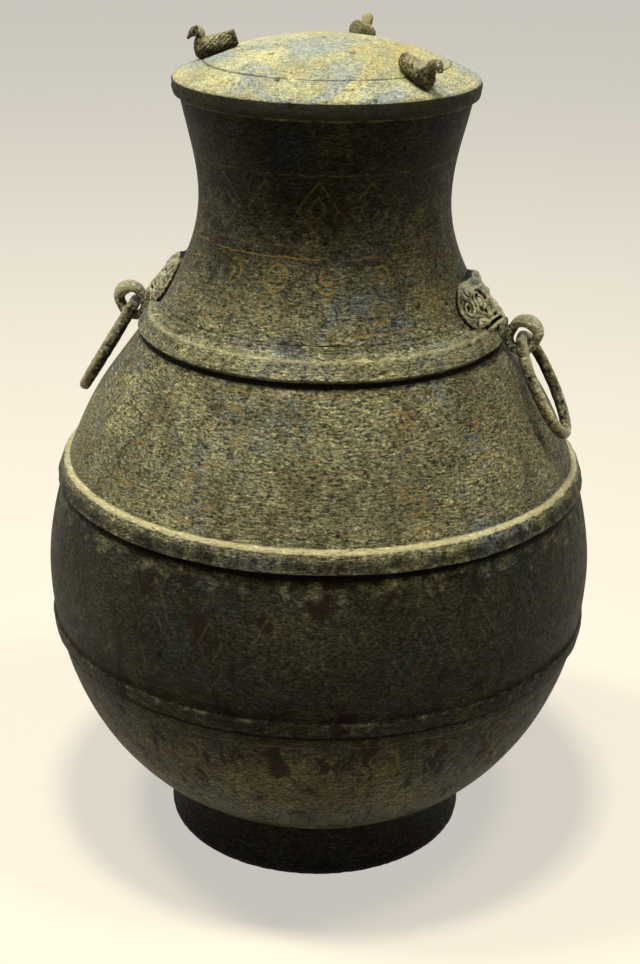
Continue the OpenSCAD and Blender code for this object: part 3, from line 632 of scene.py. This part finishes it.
def mask_height(u, v, t):
    """Relief in mm over the wall, with u from chin to brow, v and t (mm) from ear to ear."""
    half = np.abs(v)
    y = (u - 0.5) * (mask_top - mask_low)
    x = np.abs(t)
    h = mask_relief * (1 - 0.3 * u)
    h = h + 3.4 * hill(u, v, 0.10, 0, 0.26, 0.32) + 3.4 * hill(u, v, 0.48, 0, 0.34, 0.15)
    h = h + 2.2 * hill(u, half, 0.56, 0.48, 0.12, 0.15) + 1.8 * hill(u, half, 0.78, 0.44, 0.07, 0.30)
    h = h + 2.0 * hill(u, half, 0.88, 0.74, 0.14, 0.16) + 2.2 * hill(u, half, 0.22, 0.66, 0.12, 0.16)
    h = h + 1.2 * hill(u, v, 0.92, 0, 0.10, 0.16) + 1.5 * hill(u, v, 0.74, 0, 0.14, 0.22)
    # Eye: a ball in a ring groove under an arched brow, with a deep pit below it
    ball = np.hypot(x - 8.4, y - 1.2)
    h = h + 1.1 * np.clip(1 - (ball / 2.4) ** 2, 0, 1) - 1.2 * np.exp(-((ball - 3.2) / 0.6) ** 2)
    h = h - 0.9 * np.exp(-((ball - 5.3) / 0.45) ** 2) * (y > 0.5)
    h = h - 2.0 * np.exp(-(np.hypot(x - 6.2, y + 3.2) / 1.1) ** 2)
    # Ear: a hollow with a coiled rim. Cheek: a ball with a coil. Horns: two blunt knobs.
    h = h - 2.0 * np.exp(-(np.hypot((x - 17.6) / 1.5, (y - 1.4) / 1.2)) ** 2)
    h = h - 0.8 * coil_groove(x, y, 17.6, 1.4, 4.6, 2.3, 1)
    h = h + 1.2 * np.exp(-(np.hypot(x - 15.6, y + 6.2) / 3.0) ** 2)
    h = h - 0.8 * coil_groove(x, y, 15.6, -6.2, 3.2, 1.9, -1)
    h = h + 1.1 * np.exp(-(np.hypot(x - 11.6, y - 10.0) / 2.4) ** 2)
    h = h + 0.4 * np.exp(-(np.hypot(x - 4.6, y - 9.4) / 2.0) ** 2)
    h = h - 0.8 * coil_groove(x, y, 15.0, 7.0, 2.8, 1.8, -1)
    # Nostril, and the lip: a strip below a deep groove that runs from cheek to snout
    h = h - 1.3 * np.exp(-(np.hypot(x - 3.0, y + 6.6) / 1.0) ** 2)
    h = h - 2.3 * np.exp(-((y + 8.6) / 0.6) ** 2) * np.clip((21 - x) / 1.5, 0, 1) * np.clip(x - 1.0, 0, 1)
    h = h + 0.9 * np.exp(-((y + 10.4) / 0.9) ** 2) * np.clip((21 - x) / 1.5, 0, 1)
    return h


def over_wall(z, angle, h):
    out_r, out_z = wall_normal(z)
    r = wall_r(z) + h * out_r
    return np.stack([r * np.cos(angle), r * np.sin(angle), z + h * out_z], -1)


def net_faces(rows, cols, first=0, close=False, flip=False):
    faces = []
    for i in range(rows - 1):
        for j in range(cols if close else cols - 1):
            k = (j + 1) % cols
            face = [first + cols * i + j, first + cols * (i + 1) + j, first + cols * (i + 1) + k,
                    first + cols * i + k]
            faces.append(face[::-1] if flip else face)
    return faces


# Blender draws this noise's offsets afresh in each run unless it is given a seed
noise.seed_set(21)


def roughen(points, size_mm, depth_mm, seed):
    """Moves points by a smooth noise, in mm, as old casting skin and long handling do."""
    moved = np.array(points, float)
    for i, p in enumerate(moved):
        step = noise.noise_vector(Vector(p / size_mm) + Vector((seed, 0, 0)))
        moved[i] = p + np.array(step) * depth_mm
    return moved


def swept_tube(path, across, up_way, sizes, sides, round_power=1.0):
    """A closed or open tube: rings of points about a path, with a width and height a ring."""
    rings = []
    for i in range(len(path)):
        a = np.linspace(0, 2 * math.pi, sides, endpoint=False)
        ca, sa = np.cos(a), np.sin(a)
        ca = np.sign(ca) * np.abs(ca) ** round_power
        sa = np.sign(sa) * np.abs(sa) ** round_power
        rings.append(path[i] + np.outer(ca * sizes[i][0], across[i]) + np.outer(sa * sizes[i][1], up_way[i]))
    return np.concatenate(rings)


class Shells:
    """Gathers closed shells, in mm, for one casting."""

    def __init__(self):
        self.points, self.faces, self.wear_and_painted_light = [], [], []

    def add(self, points, faces, wear_and_painted_light):
        first = sum(len(p) for p in self.points)
        self.points.append(np.asarray(points))
        self.faces += [[first + k for k in face] for face in faces]
        self.wear_and_painted_light.append(np.broadcast_to(wear_and_painted_light, len(points)).astype(float))

    def piece(self, name, finish, turned=0.0):
        points = np.concatenate(self.points) * mm
        c, s = math.cos(turned), math.sin(turned)
        points = points @ np.array([[c, s, 0], [-s, c, 0], [0, 0, 1]])
        mesh = bpy.data.meshes.new(name)
        mesh.from_pydata(points.tolist(), [], self.faces)
        shape = bmesh.new()
        shape.from_mesh(mesh)
        bmesh.ops.recalc_face_normals(shape, faces=shape.faces)
        shape.to_mesh(mesh)
        shape.free()
        mesh.shade_smooth()
        mesh.materials.append(finish)
        thing = bpy.data.objects.new(name, mesh)
        scene.collection.objects.link(thing)
        mark(thing, "wear_and_painted_light", np.concatenate(self.wear_and_painted_light))
        return thing


def endless_faces(rows, sides):
    """Faces of a tube that runs round and joins its own start."""
    return [[sides * i + j, sides * ((i + 1) % rows) + j, sides * ((i + 1) % rows) + (j + 1) % sides,
             sides * i + (j + 1) % sides] for i in range(rows) for j in range(sides)]


def tube_caps(rows, sides):
    return [list(range(sides))[::-1], [sides * (rows - 1) + k for k in range(sides)]]


def tilted(points, tilt, spot):
    """Points tipped outwards from upright and carried to a spot (x, z) in the xz plane."""
    c, s = math.cos(tilt), math.sin(tilt)
    return np.stack([points[:, 0] * c + points[:, 2] * s + spot[0], points[:, 1],
                     -points[:, 0] * s + points[:, 2] * c + spot[1]], 1)


def round_bar(line, sides, tilt, spot):
    """Points and faces of a closed bar turned from its half outline, then tilted in its place."""
    bar = np.array([[r * math.cos(a), r * math.sin(a), rise_z] for r, rise_z in line
                    for a in np.linspace(0, 2 * math.pi, sides, endpoint=False)])
    faces = net_faces(len(line), sides, close=True) + tube_caps(len(line), sides)
    return tilted(bar, tilt, spot), [f[::-1] for f in faces]


loop_x, loop_z, loop_bend = 96, 263.5, 5.95
loop_strand = (4.5, 6.4)
loop_shift = np.array([-1.8, -3.2])


def mask_casting(seed):
    shells = Shells()
    rows, cols = 96, 190
    u, v = np.meshgrid(np.linspace(0, 1, rows), np.linspace(-1, 1, cols), indexing="ij")
    half_w = 1 - np.where(u > mask_widest, 2.3, 1.8) * (u - mask_widest) ** 2
    angle = v * half_w * mask_w / 2 / wall_r(tenon_z)
    z = mask_low + (mask_top - mask_low) * u
    t = angle * wall_r(tenon_z)
    edge = np.sqrt(np.clip(1 - np.abs(v) ** 2.5, 0, 1)) * np.sqrt(np.clip(1 - np.abs(2 * u - 1) ** 10, 0, 1))
    relief = mask_height(u, v, t)
    h = 0.2 + (relief - 0.2) * edge
    front = over_wall(z, angle, h).reshape(-1, 3)
    front = roughen(front, 1.5, 0.30, seed)
    back = over_wall(z, angle, -0.8 + 0 * h).reshape(-1, 3)
    rim = list(range(cols)) + [cols * i + cols - 1 for i in range(1, rows)]
    rim += [cols * (rows - 1) + j for j in range(cols - 2, -1, -1)]
    rim += [cols * i for i in range(rows - 2, 0, -1)]
    total = rows * cols
    faces = [f[::-1] for f in net_faces(rows, cols)]
    faces += net_faces(rows, cols, first=total)
    faces += [[rim[k], rim[(k + 1) % len(rim)], rim[(k + 1) % len(rim)] + total, rim[k] + total][::-1]
              for k in range(len(rim))]
    # Ridges are lighter and hollows darker, partly worn by handling and partly painted highlight and painted
    # shade; the horns get a painted highlight
    smooth = relief - (mask_relief * (1 - 0.3 * u))
    local = h - 0.25 * (np.roll(h, 5, 0) + np.roll(h, -5, 0) + np.roll(h, 5, 1) + np.roll(h, -5, 1))
    horns = np.exp(-(np.hypot(np.abs(t) - 11.6, z - 285.5) / 3.4) ** 2)
    wear_and_painted_light = 0.55 + 0.85 * np.clip(local / 0.6, -1, 1) + 0.05 * smooth + 0.6 * horns
    shells.add(np.concatenate([front, back]), [f[::-1] for f in faces],
               np.concatenate([wear_and_painted_light.reshape(-1), np.full(total, 0.5)]))
    # The loop's strand: an outer bend, two straights and an inner bend that runs into the wall
    run = np.linalg.norm(loop_shift)
    out_way = -loop_shift / run
    side_way = np.array([-out_way[1], out_way[0]])
    path, across, widths = [], [], []
    for a in np.linspace(-math.pi / 2, math.pi / 2, 40):
        path.append(out_way * math.cos(a) + side_way * math.sin(a))
        across.append(path[-1])
        path[-1] = path[-1] * loop_bend
        widths.append(math.cos(a))
    for a in np.linspace(math.pi / 2, 3 * math.pi / 2, 40):
        way = out_way * math.cos(a) + side_way * math.sin(a)
        path.append(way * loop_bend - out_way * run)
        across.append(way)
        widths.append(0)
    path = np.array([[loop_x + p[0], 0, loop_z + p[1]] for p in path])
    across = np.array([[p[0], 0, p[1]] for p in across])
    widths = np.array(widths)
    # The outer bend is thicker inwards, where nothing rubs on it
    path = path - across * 1.1 * widths[:, None]
    sizes = [(loop_strand[0] / 2 + 1.1 * w - 0.05, loop_strand[1] / 2 + 0.2 * w) for w in widths]
    level_way = np.tile([0.0, 1.0, 0.0], (len(path), 1))
    sides = 28
    strand = swept_tube(path, across, level_way, sizes, sides, 0.9)
    # The outer bend, at the top of the loop, gets a painted highlight
    rubbed_and_painted_light = np.repeat(0.55 + 0.35 * widths, sides)
    strand = roughen(strand, 2.2, 0.20, seed + 7)
    shells.add(strand, endless_faces(len(path), sides), rubbed_and_painted_light)
    # A collar wraps the loop's root, with a small scroll at each lower end
    root = np.array([wall_r(loop_z) + 4, 0, loop_z - 0.5])
    ball = []
    bands, ring = 18, 36
    for i in range(bands + 1):
        a = math.pi * i / bands
        for j in range(ring):
            b = 2 * math.pi * j / ring
            ball.append(root + 4.5 * np.array([math.cos(a), math.sin(a) * math.cos(b),
                                               math.sin(a) * math.sin(b)]))
    ball = roughen(np.array(ball), 2.0, 0.12, seed + 3)
    shells.add(ball, net_faces(bands + 1, ring, close=True), 0.45)
    collar, ways, up_ways, sizes = [], [], [], []
    for a in np.linspace(-2.35, 2.35, 60):
        turn_in = max(0.0, abs(a) - 1.6)
        reach = 5.4 + 1.2 * turn_in
        centre = root + np.array([0.4, 0, 0.6])
        bead = centre + np.array([0.35 * math.cos(a) + 0.5 - 0.9 * turn_in, reach * math.sin(a),
                                   reach * math.cos(a) * 0.92])
        collar.append(bead)
        way = bead - centre
        ways.append(way / np.linalg.norm(way))
        up_ways.append([1.0, 0, 0])
        sizes.append((0.95, 1.35))
    sides = 14
    tube = swept_tube(np.array(collar), np.array(ways), np.array(up_ways), sizes, sides)
    shells.add(roughen(tube, 2.0, 0.1, seed + 4),
               net_faces(len(collar), sides, close=True) + tube_caps(len(collar), sides), 0.62)
    # Tenon through the wall, and its head inside
    tilt = math.atan2(*wall_normal(tenon_z))
    for radius, low, high in ((tenon_r, -wall - head_gap - 0.2, 1.5),
                              (head_r, -wall - head_gap - head_t, -wall - head_gap)):
        line = [(0.01, low), (radius - 0.4, low), (radius, low + 0.4), (radius, high - 0.4),
                (radius - 0.4, high), (0.01, high)]
        shells.add(*round_bar(line, 32, tilt, (wall_r(tenon_z), tenon_z)), 0.4)
    return shells


mask_finish = patinated_bronze(
    "old bronze, grey relief patina", "#4b4933", "#777458", "#a59e7b", "#7c8686", "#5f543e",
    "#f0eabf", "#14120e", seed=3.0, gloss=0.46, grain=1.2, clouds=0.045, lie=0.9, speckle=1.1, coarse=1.6)
for mask_name, turned, seed in (("mask_right", 0.0, 0.0), ("mask_left", math.pi, 40.0)):
    mask = mask_casting(seed).piece(mask_name + "_cast", mask_finish, turned)
    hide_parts(mask_name)
    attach(mask, "vessel")


# The two free rings. Each was cast as a closed round ring and the loop was cast round it, so
# it swings but can't come off. The rod's outer face, which leans up, is painted lighter and the
# face towards the wall darker: painted highlight and painted shade. It is worn lighter round
# its outer rim and worn where it hangs.
ring_r, rod_r = 27, 2.7
hang_x, hang_z = loop_x + loop_shift[0], loop_z + loop_shift[1]
ring_finish = patinated_bronze(
    "old bronze, rubbed ring patina", "#2e2b1f", "#656047", "#ada679", "#6c7370", "#4a4230",
    "#ece5ba", "#14110c", seed=4.0, gloss=0.42, grain=1.6, lie=0.9, speckle=1.25, coarse=2.2)
for ring_name, body_name, turned, leaning, twist, seed in (
        ("ring_left", "left_ring", math.pi, 31.0, 7.7, 11.0),
        ("ring_right", "right_ring", 0.0, 28.4, 4.1, 12.0)):
    steps, sides = 220, 30
    middle = ring_r - rod_r
    a = np.linspace(0, 2 * math.pi, steps, endpoint=False)
    thin = np.array([1 - 0.03 * max(0, math.cos(x)) ** 6 - 0.02 * (1 + math.sin(3 * x + seed)) for x in a])
    way = np.stack([0 * a, np.sin(a), np.cos(a)], 1)
    path = way * middle
    tube = swept_tube(path, way, np.tile([1.0, 0, 0], (steps, 1)),
                      [(rod_r * k, rod_r * k) for k in thin], sides)
    tube = roughen(tube, 3.0, 0.16, seed)
    tube = roughen(tube, 1.1, 0.09, seed + 5)
    rows = np.repeat(np.arange(steps), sides)
    offset = tube - path[rows]
    outward = offset[:, 0] / rod_r
    # The outer face gets a painted highlight and the face towards the wall painted shade
    wear_and_painted_light = 0.46 + 0.36 * outward + 0.12 * np.einsum("ij,ij->i", offset, way[rows]) / rod_r
    # Lay it in its hanging place: turned about its hanging line, then leant out from the wall
    tw, ln = math.radians(twist), math.radians(leaning)
    x, y, z = tube[:, 0], tube[:, 1], tube[:, 2]
    x, y = x * math.cos(tw) - y * math.sin(tw), x * math.sin(tw) + y * math.cos(tw)
    z = z - middle
    x, z = x * math.cos(ln) - z * math.sin(ln), x * math.sin(ln) + z * math.cos(ln)
    shells = Shells()
    shells.add(np.stack([x + hang_x, y, z + hang_z], 1), endless_faces(steps, sides), wear_and_painted_light)
    ring_piece = shells.piece(ring_name + "_cast", ring_finish, turned)
    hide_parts(ring_name)
    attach(ring_piece, body_name)


# The lid. A shallow cast dome on an upright edge, with a tongue that drops into the mouth. Its
# top has one incised circle, and its edge is chipped and ragged. Its finish is a much lighter
# copy of the bronze patina: painted light, where the top catches the strongest light.
lid_r, lid_edge, dome_h, tongue_h, tongue_gap, lid_wall = 68.6, 7.5, 17.5, 11, 0.6, 3
lid_low = mouth_h + 0.3
lid_shoulder = lid_low + lid_edge
dome_sphere = (lid_r**2 + dome_h**2) / (2 * dome_h)
dome_centre = lid_shoulder + dome_h - dome_sphere
circle_r, circle_depth = 55, 0.35
tongue_r = mouth_r - wall * 1.03 - tongue_gap
tongue_end_r = wall_r(mouth_h - tongue_h) - wall * 1.03 - tongue_gap


def dome_z(r):
    return dome_centre + np.sqrt(dome_sphere**2 - r**2)


dome_r = np.concatenate([np.linspace(0.01, 52, 44), np.linspace(52.6, 57.4, 17),
                         np.linspace(58.2, 67.2, 14)])
dome_line = np.stack([dome_r, dome_z(dome_r) - 0.02
                      - circle_depth * np.exp(-((dome_r - circle_r) / 0.45) ** 2)], 1)
under_r = np.linspace(tongue_r - lid_wall, 0.01, 22)
lid_profile = np.concatenate([
    dome_line,
    [[lid_r - 0.7, lid_shoulder + 0.25], [lid_r - 0.15, lid_shoulder - 0.5], [lid_r, lid_shoulder - 1.4],
     [lid_r, lid_shoulder - 3], [lid_r, lid_shoulder - 4.5], [lid_r, lid_low + 1.2],
     [lid_r - 0.3, lid_low + 0.4],
     [lid_r - 1, lid_low], [tongue_r + 0.3, lid_low], [tongue_r, lid_low - 0.4],
     [tongue_end_r, lid_low - tongue_h + 0.8], [tongue_end_r - 0.6, lid_low - tongue_h],
     [tongue_end_r - lid_wall + 0.5, lid_low - tongue_h],
     [tongue_end_r - lid_wall, lid_low - tongue_h + 0.6]],
    np.stack([under_r, dome_z(under_r) - lid_wall], 1)])
# A lighter copy of the patina: painted light on the lid's top
lid_finish = patinated_bronze(
    "old bronze, painted_bright lid patina", "#807e60", "#a2a17b", "#bab585", "#7b8990", "#b39c4c",
    "#d6d1a4", "#100f0a", seed=5.0, gloss=0.5, grain=0.5, clouds=0.07, lie=0.6, speckle=0.38)
rim_weight = np.exp(-((lid_profile[:, 0] - lid_r + 0.4) / 0.8) ** 2) * (lid_profile[:, 1] > lid_low + 2)
lid = turn("lid_cast", lid_profile, lid_finish, 288, dip=0.0003, dip_size=0.022, chip=0.0007, seed=7.0,
           edge=rim_weight)
spots = points_of(lid)
away = np.hypot(spots[:, 0], spots[:, 1])
on_side = (away > lid_r - 1.2) & (spots[:, 2] < lid_shoulder - 0.6)
inside_lid = (away < tongue_r + 1) & (spots[:, 2] < dome_z(np.minimum(away, 60)) - 1.5)
groove = np.exp(-((away - circle_r) / 0.7) ** 2) * ~inside_lid
mark(lid, "wear_and_painted_light", 0.5 - 0.6 * on_side - 0.3 * inside_lid - 0.3 * groove)
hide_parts("lid")
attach(lid, "lid_group")


# The three ducks. Small solid castings, each with a peg through the lid: a body with folded
# wings and a flat sole, a raised head and a short bill. They look outwards from the lid.
duck_places = (49.5, 49.5, 57.4)
duck_angles = (85, 194, 325)
duck_reach = (0, 0, 2.5)
duck_len, duck_back, duck_w = 19.5, 7.8, 10.5
duck_height_kept = 0.985
peg_r = 1.8
breast = duck_len * 0.42
tail_end = breast - duck_len
stations = np.array([
    [tail_end, 3.9, 1.2, 3.3, 0], [tail_end + 0.7, 3.9, 2.8, 3.6, 0],
    [tail_end + 3.2, duck_back * 0.46, duck_w * 0.38, 3.9, 0],
    [tail_end + 7, duck_back * 0.48, duck_w * 0.47, 4.2, 0],
    [tail_end + 11, duck_back * 0.5, duck_w / 2, 4.5, 0],
    [tail_end + 14.5, duck_back * 0.54, duck_w * 0.48, 4.8, -8],
    [breast - 2.5, duck_back * 0.61, duck_w * 0.39, 4.8, -26],
    [breast - 2.7, duck_back * 0.87, 3.1, 3.6, -55],
    [breast - 4, duck_back * 1.13, 2.4, 2.6, -84],
    [breast - 4.9, duck_back * 1.33, 2.3, 2.3, -78],
    [breast - 4.4, duck_back * 1.47, 2.6, 2.6, -35],
    [breast - 3, duck_back * 1.53, 2.6, 2.5, 0],
    [breast - 1.4, duck_back * 1.5, 2, 1.8, 20],
    [breast - 0.3, duck_back * 1.44, 1.4, 1.1, 30],
    [breast + 0.9, duck_back * 1.34, 1.2, 0.7, 38],
    [breast + 1.3, duck_back * 1.31, 0.4, 0.25, 38]])


def duck_casting(reach, seed):
    """A duck that looks along +x, with its sole at z = 0, in mm."""
    steps, sides = 8, 48
    rings = []
    last = len(stations) - 1
    for i in range(last):
        a, b, c, d = (stations[max(i - 1, 0)], stations[i], stations[i + 1], stations[min(i + 2, last)])
        for k in range(steps):
            t = k / steps
            rings.append(0.5 * (2 * b + (c - a) * t + (2 * a - 5 * b + 4 * c - d) * t**2
                                + (3 * b - a - 3 * c + d) * t**3))
    rings.append(stations[last])
    angles = np.linspace(0, 2 * math.pi, sides, endpoint=False)
    points = []
    for s in rings:
        raise_by, tip = s[3] * np.sin(angles), math.radians(s[4])
        height = np.maximum(0.05, s[1] + raise_by * math.cos(tip))
        rise = np.maximum(0, height / duck_back - 0.8)
        points.append(np.stack([s[0] + raise_by * math.sin(tip) + reach * rise / 0.7,
                                s[2] * np.cos(angles), height], 1))
    points = np.concatenate(points)
    # Folded wings: a raised leaf on each flank with combed feathers, and an eye pit
    x, y, z = points[:, 0], np.abs(points[:, 1]), points[:, 2]
    leaf = np.clip(1 - ((x - (tail_end + 8.6)) / 7.2) ** 2 - ((z - duck_back * 0.62) / 3.0) ** 2, 0, 1)
    leaf = np.minimum(1, leaf * 5) * (z > 1.2) * (y > 1.4)
    comb = 0.5 + 0.5 * np.sin((x * 0.75 + z * 1.5) * 2.6)
    wear_and_painted_light = 0.5 + 0.22 * leaf - 0.35 * leaf * (comb < 0.3)
    swell = leaf * (0.45 - 0.35 * (1 - comb))
    top = np.clip((z - duck_back * 1.1) / 1.0, 0, 1)
    eye = np.exp(-((x - (breast - 2.6 + reach)) ** 2 + (z - duck_back * 1.56) ** 2) / 0.35) * top * (y > 1)
    points[:, 1] += np.sign(points[:, 1]) * (swell - 0.45 * eye)
    solid = points[:, 2] > 0.2
    rough = roughen(points, 1.8, 0.14, seed)
    points[solid] = rough[solid]
    faces = [f[::-1] for f in net_faces(len(rings), sides, close=True) + tube_caps(len(rings), sides)]
    wear_and_painted_light = wear_and_painted_light - 0.4 * eye + 0.15 * (points[:, 2] > duck_back * 1.3)
    # The back is painted lighter: a painted highlight where light falls from above
    wear_and_painted_light = wear_and_painted_light + 0.35 * np.clip((points[:, 2] - duck_back * 0.80) / 1.2, 0, 1) * (points[:, 0] < breast - 5)
    # The cast skin stands a little proud, so the height is brought back under the CAD duck's
    points[:, 2] *= duck_height_kept
    return points, faces, wear_and_painted_light


duck_finish = patinated_bronze(
    "old bronze, dark duck patina", "#322e21", "#565139", "#7f7857", "#5f6664", "#483d2a",
    "#d0c89c", "#15120d", seed=6.0, gloss=0.46, grain=1.0, lie=0.9, coarse=1.5)
for i, duck_name in enumerate(("duck_back", "duck_left", "duck_right")):
    shells = Shells()
    points, faces, wear_and_painted_light = duck_casting(duck_reach[i], 20.0 + i)
    # The back duck is painted lighter all over: painted light, as it stands in stronger light
    shells.add(points, faces, wear_and_painted_light + (0.22 if duck_name == "duck_back" else 0))
    tilt = math.asin(duck_places[i] / dome_sphere)
    spot = (duck_places[i], dome_z(duck_places[i]))
    shells.points[0] = tilted(shells.points[0], tilt, spot)
    line = [(0.01, -6), (peg_r - 0.2, -6), (peg_r, -5.7), (peg_r, 2), (0.01, 2)]
    shells.add(*round_bar(line, 24, tilt, spot), 0.4)
    duck = shells.piece(duck_name + "_cast", duck_finish, math.radians(duck_angles[i]))
    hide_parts(duck_name)
    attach(duck, "lid_group")
